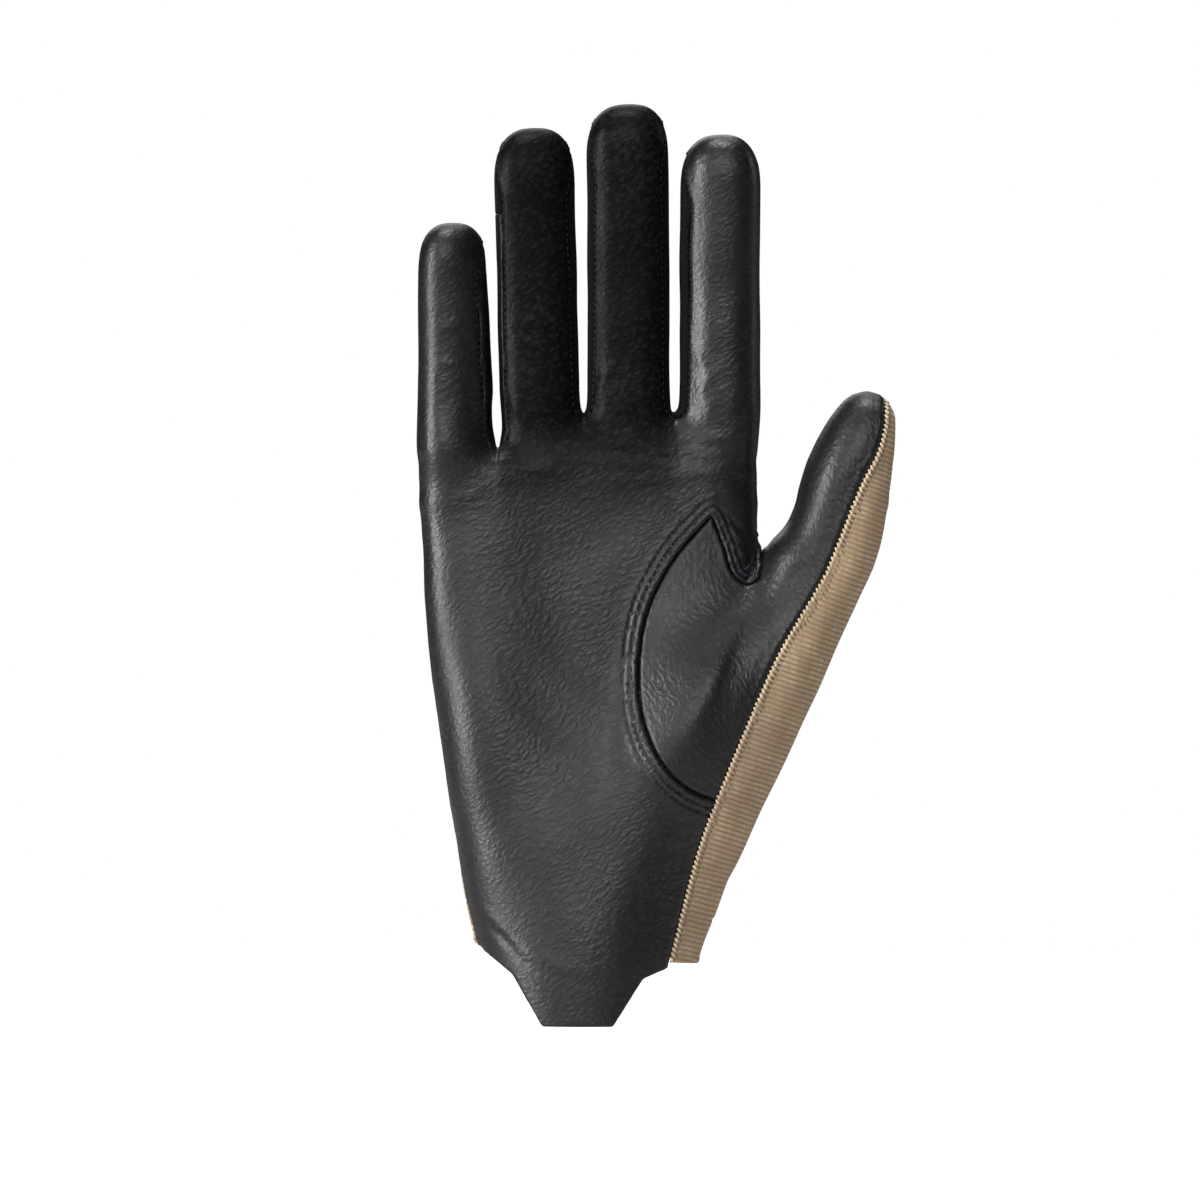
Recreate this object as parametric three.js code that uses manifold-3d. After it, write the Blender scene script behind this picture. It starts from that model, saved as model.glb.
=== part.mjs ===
// Right-hand riding glove in millimetres, as an empty hand-shaped shell of sewn panels.
// Fingers point to +Z, the palm faces -Y and the thumb points to +X.
// The origin is the middle of the wrist mouth, level with the lowest point of the knitted back.
// The shell is first built flat, as a loft for the hand and one for each digit, then cut along
// its seams into panels. At the end every panel is curled and arched as a resting hand is.
import * as THREE from "three";
import { mergeVertices } from "three/addons/utils/BufferGeometryUtils.js";
import Module from "manifold-3d";

const wasm = await Module();
wasm.setup();

// Cloth and seams
const panelWall = 1.2;
const seamGap = 0.35;

// Hand
const palmLength = 138;
const palmWidth = 85;
const knuckleDepth = 20;
const wristWidth = 55;
const wristDepth = 36;
const littleCrotchDrop = 8.5;

// Wrist edge
const tongueLength = 13;
const tongueTopWidth = 33;
const tongueEndWidth = 17.8;
const tongueOffset = -2.6;
const frontHemDip = 2.2;
const littleSideHemRise = 5;
const sideSeamForward = 4;
const thumbSideSeamReach = 20.2;

// Fingers. length runs from the crotch to the tip and cap is the height of the round end, both
// in millimetres like depth. The others are shares of palmWidth: the widths at root and tip,
// centre from the palm's middle line, and lean, how far the tip stands to the side.
const fingerSizes = {
  little: { length: 56.3, depth: 16, cap: 10, root: 0.234, tip: 0.2, centre: -0.389, lean: -0.009 },
  ring: { length: 71.5, depth: 17, cap: 13, root: 0.238, tip: 0.24, centre: -0.142, lean: -0.019 },
  middle: { length: 77.5, depth: 17.5, cap: 12, root: 0.246, tip: 0.244, centre: 0.121, lean: -0.005 },
  index: { length: 69.8, depth: 17, cap: 12, root: 0.241, tip: 0.237, centre: 0.389, lean: 0.001 },
};

// Thumb
const thumbLength = 142;
const thumbWidth = 23.6;
const thumbDepth = 20;
const thumbLeanDeg = 23.4;
const thumbBaseUp = 12;
const thumbBaseInset = 10.5;

// Side walls of the fingers, between the front seam and the back seam
const sideWallFront = 6;
const sideWallBack = 5.4;
const sideWallUnder = 4;
const sideWallTipGap = 4.5;
const sideWallTaper = 13;
const reinPatchReach = 50;

// Pose
const fingerCurl = 9;
const palmArch = 3.5;

// Corner exponents of the sections, where 2 is an ellipse
const webSquare = 3.1;
const fingerSquare = 2.3;
const thumbSquare = 2.2;

// Facets
const handSides = 36;
const fingerSides = 16;
const thumbSides = 20;
const capSteps = 4;

const leatherBlack = new THREE.MeshStandardMaterial({ color: 0x1d1d1e, roughness: 0.48 });
const knitTan = new THREE.MeshStandardMaterial({ color: 0x9a8265, roughness: 0.9 });
const meshNavy = new THREE.MeshStandardMaterial({ color: 0x17171d, roughness: 0.85 });

const share = THREE.MathUtils.lerp;

// Sections of the hand from the wrist up. up is a share of palmLength. The spreads go from the
// wrist's half width, 0, to the palm's, 1. flat does the same for the depths, and square is the
// section's corner exponent.
const handRows = [
  { up: -0.13, littleSpread: -0.12, thumbSpread: -0.2, flat: 0, square: 2 },
  { up: 0, littleSpread: 0, thumbSpread: 0, flat: 0, square: 2 },
  { up: 0.11, littleSpread: 0.2, thumbSpread: 0.37, flat: 0.08, square: 2.05 },
  { up: 0.22, littleSpread: 0.36, thumbSpread: 0.7, flat: 0.18, square: 2.15 },
  { up: 0.34, littleSpread: 0.53, thumbSpread: 0.92, flat: 0.34, square: 2.3 },
  { up: 0.48, littleSpread: 0.73, thumbSpread: 1, flat: 0.54, square: 2.5 },
  { up: 0.62, littleSpread: 0.865, thumbSpread: 1.01, flat: 0.74, square: 2.7 },
  { up: 0.76, littleSpread: 0.955, thumbSpread: 1.01, flat: 0.9, square: 2.9 },
];

// Sections above those, up to the web between the fingers. below is measured down from the
// crotches of the longer fingers, as a share of littleCrotchDrop. reach goes from the roots of
// the ring and index fingers, 0, out to the edges of the palm, 1. depth is a share of
// knuckleDepth.
const webRows = [
  { below: 2.3, reach: 1, depth: 1 },
  { below: 1.45, reach: 1, depth: 1 },
  { below: 1, reach: 0, depth: 0.97 },
  { below: 0.5, reach: 0, depth: 0.9 },
  { below: 0.15, reach: 0, depth: 0.72 },
  { below: 0, reach: 0, depth: 0.45 },
];

// Sections of a finger. along is a share from the crotch, 0, to where its round cap starts, 1.
// width and depth are shares of the finger's own.
const fingerRows = [
  { along: -0.3, width: 0.88, depth: 0.84 },
  { along: 0.02, width: 1, depth: 1.14 },
  { along: 0.2, width: 1, depth: 1.1 },
  { along: 0.42, width: 1, depth: 1.06 },
  { along: 0.62, width: 1, depth: 1.04 },
  { along: 0.82, width: 1, depth: 1.02 },
  { along: 1, width: 1, depth: 1 },
];
const capBlunt = 0.7;

// Sections of the thumb. along is a share of thumbLength from its base in the wrist. side and
// width are shares of thumbWidth, and depth is one of thumbDepth. seam is where the knitted
// back meets the leather, from the thumb's middle line, 0, to its outer edge, 1.
const thumbRows = [
  { along: 0, side: 0, width: 0.8, depth: 1.05, seam: 0.6 },
  { along: 0.13, side: 0.02, width: 1.1, depth: 1.26, seam: 0.21 },
  { along: 0.26, side: 0.03, width: 1.13, depth: 1.44, seam: 0.105 },
  { along: 0.42, side: 0.085, width: 1.08, depth: 1.4, seam: -0.02 },
  { along: 0.52, side: 0.085, width: 1.1, depth: 1.3, seam: 0.005 },
  { along: 0.6, side: 0.09, width: 1.1, depth: 1.22, seam: 0.115 },
  { along: 0.67, side: 0.087, width: 1.118, depth: 1.14, seam: 0.205 },
  { along: 0.72, side: 0.135, width: 1.03, depth: 1.09, seam: 0.12 },
  { along: 0.83, side: 0.035, width: 0.94, depth: 0.98, seam: 0.3 },
  { along: 0.9, side: -0.02, width: 0.84, depth: 0.88, seam: 0.525 },
  { along: 0.95, side: -0.045, width: 0.68, depth: 0.71, seam: 0.6 },
  { along: 0.985, side: -0.05, width: 0.46, depth: 0.45, seam: 0.57 },
  { along: 1, side: -0.055, width: 0.2, depth: 0.2, seam: 0.7 },
];

const sized = (row) => ({
  ...row,
  root: row.root * palmWidth,
  tip: row.tip * palmWidth,
  centre: row.centre * palmWidth,
  lean: row.lean * palmWidth,
});
const fingers = {
  little: sized(fingerSizes.little),
  ring: sized(fingerSizes.ring),
  middle: sized(fingerSizes.middle),
  index: sized(fingerSizes.index),
};

// Closed geometry through rings of points, with flat ends
function loft(rings) {
  const sides = rings[0].length;
  const positions = rings.flat().flatMap((p) => [p.x, p.y, p.z]);
  const triangles = [];
  for (let r = 0; r + 1 < rings.length; r++) {
    for (let i = 0; i < sides; i++) {
      const next = (i + 1) % sides;
      const [a, b] = [r * sides + i, r * sides + next];
      triangles.push(a, b, b + sides, a, b + sides, a + sides);
    }
  }
  const top = (rings.length - 1) * sides;
  for (let i = 1; i + 1 < sides; i++) {
    triangles.push(0, i + 1, i);
    triangles.push(top, top + i, top + i + 1);
  }
  const geometry = new THREE.BufferGeometry();
  geometry.setAttribute("position", new THREE.Float32BufferAttribute(positions, 3));
  geometry.setIndex(triangles);
  return geometry;
}

function solidOf(geometry) {
  const bare = new THREE.BufferGeometry();
  bare.setAttribute("position", geometry.getAttribute("position"));
  if (geometry.index) bare.setIndex(geometry.index);
  const merged = mergeVertices(bare, 1e-4);
  return new wasm.Manifold(
    new wasm.Mesh({
      numProp: 3,
      vertProperties: new Float32Array(merged.attributes.position.array),
      triVerts: new Uint32Array(merged.index.array),
    }),
  );
}

const join = (solids) => solids.reduce((all, one) => all.add(one));

// Ring of a squared ellipse about centre, with its half sizes along the unit vector across and
// along Y
function ring(centre, across, halfWidth, halfDepth, square, sides) {
  return Array.from({ length: sides }, (_, i) => {
    const turn = (2 * Math.PI * (i + 0.5)) / sides;
    const bulge = (v) => Math.sign(v) * Math.abs(v) ** (2 / square);
    return centre
      .clone()
      .addScaledVector(across, halfWidth * bulge(Math.cos(turn)))
      .setY(centre.y + halfDepth * bulge(Math.sin(turn)));
  });
}

const right = new THREE.Vector3(1, 0, 0);

// A section across the hand between two points of the front view
function handRing(low, high, up, depth, square) {
  const centre = new THREE.Vector3((low + high) / 2, 0, up);
  return ring(centre, right, (high - low) / 2, depth / 2, square, handSides);
}

// Each form is made twice: with inset 0 as the outside, and with panelWall as the hollow
const webBuried = 0.6;

function handForm(inset) {
  const rings = handRows.map((row) => {
    const low = -share(wristWidth / 2, palmWidth / 2, row.littleSpread) + inset;
    const high = share(wristWidth / 2, palmWidth / 2, row.thumbSpread) - inset;
    const depth = share(wristDepth, knuckleDepth, row.flat) - 2 * inset;
    return handRing(low, high, row.up * palmLength - inset, depth, row.square);
  });
  const ringEdge = fingers.ring.centre - fingers.ring.root / 2 + webBuried;
  for (const row of webRows) {
    const low = share(ringEdge, -palmWidth / 2, row.reach) + inset;
    const high = share(fingers.index.centre, palmWidth / 2, row.reach) - inset;
    const up = palmLength - row.below * littleCrotchDrop - inset;
    rings.push(handRing(low, high, up, row.depth * knuckleDepth - 2 * inset, webSquare));
  }
  return solidOf(loft(rings));
}

const crotchOf = (finger) => palmLength - (finger === fingers.little ? littleCrotchDrop : 0);
const tipOf = (finger) => crotchOf(finger) + finger.length;

function fingerForm(finger, inset) {
  const straight = finger.length - finger.cap;
  const rings = fingerRows.map((row) => {
    const up = crotchOf(finger) + row.along * straight;
    const x = finger.centre + finger.lean * Math.max(row.along, 0);
    const width = share(finger.root, finger.tip, Math.max(row.along, 0)) * row.width;
    const depth = finger.depth * row.depth;
    const centre = new THREE.Vector3(x, 0, up);
    return ring(centre, right, width / 2 - inset, depth / 2 - inset, fingerSquare, fingerSides);
  });
  const capHeight = finger.cap - inset;
  for (let step = 1; step <= capSteps; step++) {
    const angle = (step / (capSteps + 0.35)) * (Math.PI / 2);
    const up = crotchOf(finger) + straight + capHeight * Math.sin(angle);
    const shrink = Math.cos(angle) ** capBlunt;
    const centre = new THREE.Vector3(finger.centre + finger.lean, 0, up);
    const [halfWidth, halfDepth] = [finger.tip / 2 - inset, finger.depth / 2 - inset];
    const size = [halfWidth * shrink, halfDepth * shrink];
    rings.push(ring(centre, right, ...size, fingerSquare, fingerSides));
  }
  return solidOf(loft(rings));
}

const thumbLean = THREE.MathUtils.degToRad(thumbLeanDeg);
const thumbAxis = new THREE.Vector3(Math.sin(thumbLean), 0, Math.cos(thumbLean));
const thumbOut = new THREE.Vector3(Math.cos(thumbLean), 0, -Math.sin(thumbLean));
const thumbBase = new THREE.Vector3(wristWidth / 2 - thumbBaseInset, 0, thumbBaseUp);

const thumbPoint = (row) =>
  thumbBase
    .clone()
    .addScaledVector(thumbAxis, row.along * thumbLength)
    .addScaledVector(thumbOut, row.side * thumbWidth);

// Direction across the thumb at a row, square to its bent middle line
function thumbAcross(index) {
  const before = thumbPoint(thumbRows[Math.max(index - 1, 0)]);
  const after = thumbPoint(thumbRows[Math.min(index + 1, thumbRows.length - 1)]);
  const along = after.sub(before).normalize();
  return new THREE.Vector3(along.z, 0, -along.x);
}

const thinnest = 0.4;

function thumbForm(inset) {
  const rings = thumbRows.map((row, index) => {
    const halfWidth = Math.max((row.width * thumbWidth) / 2 - inset, thinnest);
    const halfDepth = Math.max((row.depth * thumbDepth) / 2 - inset, thinnest);
    const isTip = index === thumbRows.length - 1;
    const centre = thumbPoint(row).addScaledVector(thumbAxis, isTip ? -inset : 0);
    return ring(centre, thumbAcross(index), halfWidth, halfDepth, thumbSquare, thumbSides);
  });
  return solidOf(loft(rings));
}

function gloveForm(inset) {
  const digits = Object.values(fingers).map((finger) => fingerForm(finger, inset));
  return join([handForm(inset), thumbForm(inset), ...digits]);
}

// Prisms that cut the shell. One is drawn in the front view and runs through the whole depth,
// the other is drawn in the side view as (y, z) and runs from low to high across the hand.
const deep = 60;

function frontPrism(outline) {
  const geometry = new THREE.ExtrudeGeometry(new THREE.Shape(outline), {
    depth: 2 * deep,
    bevelEnabled: false,
  });
  return solidOf(geometry.translate(0, 0, -deep).rotateX(Math.PI / 2));
}

function sidePrism(outline, low, high) {
  const geometry = new THREE.ExtrudeGeometry(new THREE.Shape(outline), {
    depth: high - low,
    bevelEnabled: false,
  });
  geometry.rotateY(Math.PI / 2).rotateX(Math.PI / 2);
  return solidOf(geometry.translate(low, 0, 0));
}

const xz = (x, z) => new THREE.Vector2(x, z);

// How far the cutting outlines reach past the glove
const farLeft = -palmWidth;
const farRight = 1.6 * palmWidth;
const farUp = palmLength + 1.5 * fingers.middle.length;
const farDown = -4 * tongueLength;

// Seam between the leather and the knitted back on the thumb side, in the front view
const seamRows = thumbRows.slice(1, -1);
const thumbSideSeam = new THREE.SplineCurve([
  xz(thumbSideSeamReach, 0),
  ...seamRows.map((row) => {
    const p = thumbPoint(row);
    const reach = (row.seam * row.width * thumbWidth) / 2;
    p.addScaledVector(thumbAcross(thumbRows.indexOf(row)), reach);
    return xz(p.x, p.z);
  }),
]);

// Everything on the leather side of that seam, moved sideways by shift
function leatherSide(shift) {
  const seam = thumbSideSeam.getPoints(4 * seamRows.length);
  const low = seam[0];
  const high = seam.at(-1);
  const outline = [
    xz(farLeft, farDown),
    xz(low.x, farDown),
    ...seam,
    xz(high.x, farUp),
    xz(farLeft, farUp),
  ];
  return frontPrism(outline.map((p) => xz(p.x + shift, p.y)));
}

// Everything in front of the seam between front and back, moved back by shift. The seam runs
// along the middle of the side and comes a little forward towards the wrist.
function frontHalf(shift) {
  const outline = [
    xz(-deep, farDown),
    xz(shift - sideSeamForward, farDown),
    xz(shift - sideSeamForward, 0),
    xz(shift, 0.3 * palmLength),
    xz(shift, farUp),
    xz(-deep, farUp),
  ];
  return sidePrism(outline, farLeft, farRight);
}

// The leather's lower edge with its tongue, and the knitted back's straight one
function aboveFrontHem() {
  const tongueEnd = -frontHemDip - tongueLength;
  const outline = [
    xz(farLeft, littleSideHemRise),
    xz(-wristWidth / 2, littleSideHemRise),
    xz(-0.945 * (wristWidth / 2), 0.65 * littleSideHemRise),
    xz(tongueOffset - tongueTopWidth / 2, -frontHemDip),
    xz(tongueOffset - tongueEndWidth / 2, tongueEnd),
    xz(tongueOffset + tongueEndWidth / 2, tongueEnd),
    xz(tongueOffset + tongueTopWidth / 2, -1.5 * frontHemDip),
    xz(thumbSideSeamReach, 0),
    xz(farRight, 0),
    xz(farRight, farUp),
    xz(farLeft, farUp),
  ];
  return frontPrism(outline);
}

function aboveBackHem() {
  const outline = [
    xz(farLeft, littleSideHemRise),
    xz(-wristWidth / 2, littleSideHemRise),
    xz(wristWidth / 2, 0),
    xz(farRight, 0),
    xz(farRight, farUp),
    xz(farLeft, farUp),
  ];
  return frontPrism(outline);
}

// A finger's middle line and edges in the front view. toward is 1 on the thumb side of the
// finger and -1 on its other side.
const alongAt = (finger, up) =>
  THREE.MathUtils.clamp((up - crotchOf(finger)) / (finger.length - finger.cap), 0, 1);
const middleAt = (finger, up) => finger.centre + finger.lean * alongAt(finger, up);
const edgeAt = (finger, up, toward) =>
  middleAt(finger, up) + (toward * share(finger.root, finger.tip, alongAt(finger, up))) / 2;

// Strip of the front view from a finger's middle line to the line gap beside it
function strip(finger, gap) {
  const shares = [0, 0.25, 0.5, 0.75, 1, 1.3];
  const heights = [palmLength / 2, ...shares.map((part) => crotchOf(finger) + part * finger.length)];
  return frontPrism([
    ...heights.map((up) => xz(middleAt(finger, up), up)),
    ...heights.reverse().map((up) => xz(gap(up), up)),
  ]);
}

// The side wall's outline in the side view, grown all round: straight up both seams, then to a
// point near the fingertip
function sideWall(finger, bottom, grow) {
  const shoulder = tipOf(finger) - sideWallTipGap - sideWallTaper;
  const outline = [
    xz(-sideWallFront - grow, bottom - grow),
    xz(sideWallBack + grow, bottom - grow),
    xz(sideWallBack + grow, shoulder),
    xz(0.5 * sideWallBack + grow, shoulder + 0.6 * sideWallTaper),
    xz(0, shoulder + sideWallTaper + 2 * grow),
    xz(-0.5 * sideWallFront - grow, shoulder + 0.6 * sideWallTaper),
    xz(-sideWallFront - grow, shoulder),
  ];
  return sidePrism(outline, farLeft, farRight);
}

// Both side walls of two neighbours, whose strips overlap a little in the gap so that they join
// across the crotch
const stripOverlap = 0.05;

function sideWallsBetween(a, b, grow) {
  const bottom = Math.min(crotchOf(a), crotchOf(b)) - sideWallUnder;
  const gap = (up) => (edgeAt(a, up, 1) + edgeAt(b, up, -1)) / 2;
  const wallOf = (finger, shift) =>
    sideWall(finger, bottom, grow).intersect(strip(finger, (up) => gap(up) + shift));
  return wallOf(a, stripOverlap).add(wallOf(b, -stripOverlap));
}

// Thumb panel's seams in the front view: the long round one in the palm, from the panel's peak
// down to the thumb side, and the short one from the peak into the thumb's crotch. across is a
// share of palmWidth and up is one of palmLength.
const roundSeamRows = [
  { across: 0.365, up: 0.812 },
  { across: 0.26, up: 0.74 },
  { across: 0.184, up: 0.653 },
  { across: 0.152, up: 0.56 },
  { across: 0.157, up: 0.46 },
  { across: 0.21, up: 0.373 },
  { across: 0.3, up: 0.318 },
  { across: 0.42, up: 0.29 },
];
const crotchSeamRows = [
  roundSeamRows[0],
  { across: 0.395, up: 0.765 },
  { across: 0.425, up: 0.71 },
  { across: 0.468, up: 0.69 },
  { across: 0.505, up: 0.7 },
];
const seamCurve = (rows) =>
  new THREE.SplineCurve(rows.map((row) => xz(row.across * palmWidth, row.up * palmLength)));

// Both seams as one line, carried on above the thumb's crotch between the thumb and the palm
const panelLine = [
  ...seamCurve(roundSeamRows).getPoints(20).reverse(),
  ...seamCurve(crotchSeamRows).getPoints(10).slice(1),
  xz(0.514 * palmWidth, 0.74 * palmLength),
  xz(0.514 * palmWidth, farUp),
];

function thumbRegion() {
  return frontPrism([...panelLine, xz(farRight, farUp), xz(farRight, panelLine[0].y)]);
}

// Thin slot along a line of the front view
function slotAlong(line, width) {
  const edge = (toward) =>
    line.map((point, i) => {
      const before = line[Math.max(i - 1, 0)];
      const after = line[Math.min(i + 1, line.length - 1)];
      const square = xz(after.y - before.y, before.x - after.x).normalize();
      return point.clone().addScaledVector(square, (toward * width) / 2);
    });
  return frontPrism([...edge(1), ...edge(-1).reverse()]);
}

// Curls the fingers towards the palm and arches the hand across its width
const curlStart = 0.72 * palmLength;
function posed(x, y, z) {
  const bend = Math.max(0, (z - curlStart) / (tipOf(fingers.middle) - curlStart));
  const raised = THREE.MathUtils.clamp(z / palmLength, 0, 1);
  const arch = palmArch * raised * (1 - ((2 * x) / palmWidth) ** 2);
  return y + arch - fingerCurl * bend * bend;
}

function panel(name, solid, material) {
  const { numProp, vertProperties, triVerts } = solid.getMesh();
  const positions = [];
  for (const vertex of triVerts) {
    const [x, y, z] = vertProperties.subarray(vertex * numProp, vertex * numProp + 3);
    positions.push(x, posed(x, y, z), z);
  }
  const geometry = new THREE.BufferGeometry();
  geometry.setAttribute("position", new THREE.Float32BufferAttribute(positions, 3));
  geometry.computeVertexNormals();
  const mesh = new THREE.Mesh(geometry, material);
  mesh.name = name;
  return mesh;
}

const shell = gloveForm(0).subtract(gloveForm(panelWall));

// Side walls first, because the front and back panels end at them
const { little, ring: ringFinger, middle, index } = fingers;
const neighbours = [
  [middle, index],
  [ringFinger, middle],
  [little, ringFinger],
];
const [indexMiddle, middleRing, ringLittle] = neighbours.map(([a, b]) =>
  shell.intersect(sideWallsBetween(a, b, 0)),
);
const faces = shell.subtract(join(neighbours.map(([a, b]) => sideWallsBetween(a, b, seamGap))));

// The rein runs between the ring and little fingers, where leather takes the side wall's place
const patchTop = crotchOf(ringFinger) + reinPatchReach;
const reinPatch = ringLittle.trimByPlane([0, 0, -1], -patchTop);
const ringTipWall = ringLittle.trimByPlane([0, 0, 1], patchTop + seamGap);

const leather = faces.intersect(leatherSide(0)).intersect(frontHalf(0)).intersect(aboveFrontHem());
const knit = faces
  .subtract(leatherSide(seamGap).intersect(frontHalf(seamGap)))
  .intersect(aboveBackHem());
const thumb = leather.intersect(thumbRegion()).subtract(slotAlong(panelLine, seamGap));
const palm = leather.subtract(thumbRegion()).subtract(slotAlong(panelLine, seamGap));

const glove = new THREE.Group();
glove.add(
  panel("palm_leather", palm, leatherBlack),
  panel("thumb_leather", thumb, leatherBlack),
  panel("knit_back", knit, knitTan),
  panel("side_wall_index_middle", indexMiddle, meshNavy),
  panel("side_wall_middle_ring", middleRing, meshNavy),
  panel("side_wall_ring_tip", ringTipWall, meshNavy),
  panel("rein_patch", reinPatch, leatherBlack),
);

export default glove;
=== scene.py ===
import math

import bmesh
import bpy
import numpy as np
from mathutils import Matrix, Vector
from mathutils.bvhtree import BVHTree


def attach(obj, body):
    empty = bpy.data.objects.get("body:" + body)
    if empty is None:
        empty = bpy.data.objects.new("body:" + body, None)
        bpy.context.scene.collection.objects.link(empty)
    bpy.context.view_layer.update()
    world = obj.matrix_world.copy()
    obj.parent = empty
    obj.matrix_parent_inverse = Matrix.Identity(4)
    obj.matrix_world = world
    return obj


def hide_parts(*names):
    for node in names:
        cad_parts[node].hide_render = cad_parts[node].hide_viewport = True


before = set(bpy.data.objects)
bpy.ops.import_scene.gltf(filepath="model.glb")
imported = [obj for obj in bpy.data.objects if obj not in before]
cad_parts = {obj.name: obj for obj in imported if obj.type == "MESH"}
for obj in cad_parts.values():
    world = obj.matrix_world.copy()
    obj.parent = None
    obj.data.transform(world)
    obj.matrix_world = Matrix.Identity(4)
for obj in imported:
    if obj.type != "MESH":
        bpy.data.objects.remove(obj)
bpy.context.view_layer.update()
print("frame loaded")

mm = 0.001
random = np.random.default_rng(7)

# Settings of the whole form, in millimetres

hand = {
    "crotchUp": 138,
    "palmWidth": 85,
    "sides": 64,
    "smoothTop": 118.5,
    "rowStep": 1.6,
}
# Sections of the hand from the wrist up: its edges low and high across, its depth, and its
# corner exponent, where 2 is an ellipse
handRows = [
    {"up": -17.94, "low": -25.7, "high": 24.5, "depth": 36, "square": 2},
    {"up": 0, "low": -27.5, "high": 27.5, "depth": 36, "square": 2},
    {"up": 15.2, "low": -30.5, "high": 33.05, "depth": 34.7, "square": 2.05},
    {"up": 30.4, "low": -32.9, "high": 38, "depth": 33.1, "square": 2.15},
    {"up": 46.9, "low": -35.45, "high": 41.3, "depth": 30.6, "square": 2.3},
    {"up": 66.2, "low": -38.45, "high": 42.5, "depth": 27.4, "square": 2.5},
    {"up": 85.6, "low": -40.5, "high": 42.65, "depth": 24.2, "square": 2.7},
    {"up": 104.9, "low": -41.8, "high": 42.65, "depth": 21.6, "square": 2.9},
    {"up": 118.5, "low": -42.5, "high": 42.5, "depth": 20, "square": 3.1},
    {"up": 125.7, "low": -42.5, "high": 42.5, "depth": 20, "square": 3.1},
    {"up": 129.5, "low": -21.6, "high": 32.9, "depth": 19.4, "square": 3.1},
    {"up": 133.75, "low": -21.6, "high": 32.9, "depth": 18, "square": 3.1},
    {"up": 136.7, "low": -21.6, "high": 32.9, "depth": 14.4, "square": 3.1},
    {"up": 138, "low": -21.6, "high": 32.9, "depth": 9, "square": 3.1},
]

digit = {"sides": 32, "capSteps": 8, "capBlunt": 0.7, "thumbSquare": 2.2}
fingers = {
    "little": {
        "crotch": 129.5, "length": 56.3, "root": 19.9, "tip": 17,
        "depth": 16, "centre": -33.1, "lean": -0.8, "cap": 10, "square": 2.3,
    },
    "ring": {
        "crotch": 138, "length": 71.5, "root": 20.2, "tip": 20.4,
        "depth": 17, "centre": -12.1, "lean": -1.3, "cap": 13, "square": 2.8,
    },
    "middle": {
        "crotch": 138, "length": 77.5, "root": 20.9, "tip": 20.7,
        "depth": 17.5, "centre": 10.3, "lean": -0.4, "cap": 12, "square": 2.8,
    },
    "index": {
        "crotch": 138, "length": 69.8, "root": 20.5, "tip": 20.1,
        "depth": 17, "centre": 33.05, "lean": 0, "cap": 12, "square": 2.3,
    },
}
# Sections of a finger: along is 0 at the crotch and 1 where its round cap starts
fingerRows = [
    {"along": -0.3, "width": 0.88, "depth": 0.84},
    {"along": 0.02, "width": 1, "depth": 1.14},
    {"along": 0.12, "width": 0.995, "depth": 1.12},
    {"along": 0.25, "width": 1, "depth": 1.08},
    {"along": 0.36, "width": 1.005, "depth": 1.08},
    {"along": 0.47, "width": 0.995, "depth": 1.05},
    {"along": 0.6, "width": 1, "depth": 1.04},
    {"along": 0.7, "width": 1.003, "depth": 1.05},
    {"along": 0.82, "width": 1, "depth": 1.02},
    {"along": 1, "width": 1, "depth": 1},
]
thumb = {
    "length": 142, "width": 23.6, "depth": 20, "lean": math.radians(23.4),
    "base": (17, 12), "sides": 40, "rowsBetween": 4,
}
# Sections of the thumb: along its length, shifted to the side, and where the knit's seam runs
# from its middle line, 0, to its outer edge, 1
thumbRows = [
    {"along": 0, "side": 0, "width": 0.8, "depth": 1.05, "seam": 0.6},
    {"along": 0.13, "side": 0.02, "width": 1.1, "depth": 1.26, "seam": 0.21},
    {"along": 0.26, "side": 0.03, "width": 1.13, "depth": 1.44, "seam": 0.105},
    {"along": 0.42, "side": 0.085, "width": 1.08, "depth": 1.4, "seam": -0.02},
    {"along": 0.52, "side": 0.085, "width": 1.1, "depth": 1.3, "seam": 0.005},
    {"along": 0.6, "side": 0.09, "width": 1.1, "depth": 1.22, "seam": 0.115},
    {"along": 0.67, "side": 0.087, "width": 1.118, "depth": 1.14, "seam": 0.205},
    {"along": 0.72, "side": 0.135, "width": 1.03, "depth": 1.09, "seam": 0.12},
    {"along": 0.83, "side": 0.035, "width": 0.94, "depth": 0.98, "seam": 0.3},
    {"along": 0.9, "side": -0.02, "width": 0.84, "depth": 0.88, "seam": 0.525},
    {"along": 0.95, "side": -0.045, "width": 0.68, "depth": 0.71, "seam": 0.6},
    {"along": 0.985, "side": -0.05, "width": 0.46, "depth": 0.45, "seam": 0.57},
    {"along": 1, "side": -0.055, "width": 0.2, "depth": 0.2, "seam": 0.7},
]

skin = {"voxel": 0.95, "passes": 7, "lastPasses": 2}
# Stretches that are smoothed further. Each round takes in a little less, so that no step shows
# where a stretch ends.
webSmoothing = {"rounds": 6, "passes": 7, "low": 96, "lowStep": 4, "high": 141, "left": -47, "right": 46}
ballSmoothing = {
    "rounds": 8, "passes": 15, "left": 8, "right": 58, "low": 4, "high": 102,
    "step": 1.5, "lowStep": 2, "offMiddle": 4,
}
pose = {"curl": 9, "curlStart": 99.36, "curlEnd": 215.5, "arch": 3.5}


# Smooth curve through the values of a table's column
def column(rows, key, where, at):
    x = np.array([row[where] for row in rows], float)
    y = np.array([row[key] for row in rows], float)
    slope = np.gradient(y, x)
    i = np.clip(np.searchsorted(x, at, side="right") - 1, 0, len(x) - 2)
    step = x[i + 1] - x[i]
    t = (at - x[i]) / step
    return (
        y[i] * (1 + 2 * t) * (1 - t) ** 2
        + y[i + 1] * t * t * (3 - 2 * t)
        + step * t * (1 - t) * (slope[i] * (1 - t) - slope[i + 1] * t)
    )


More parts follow.
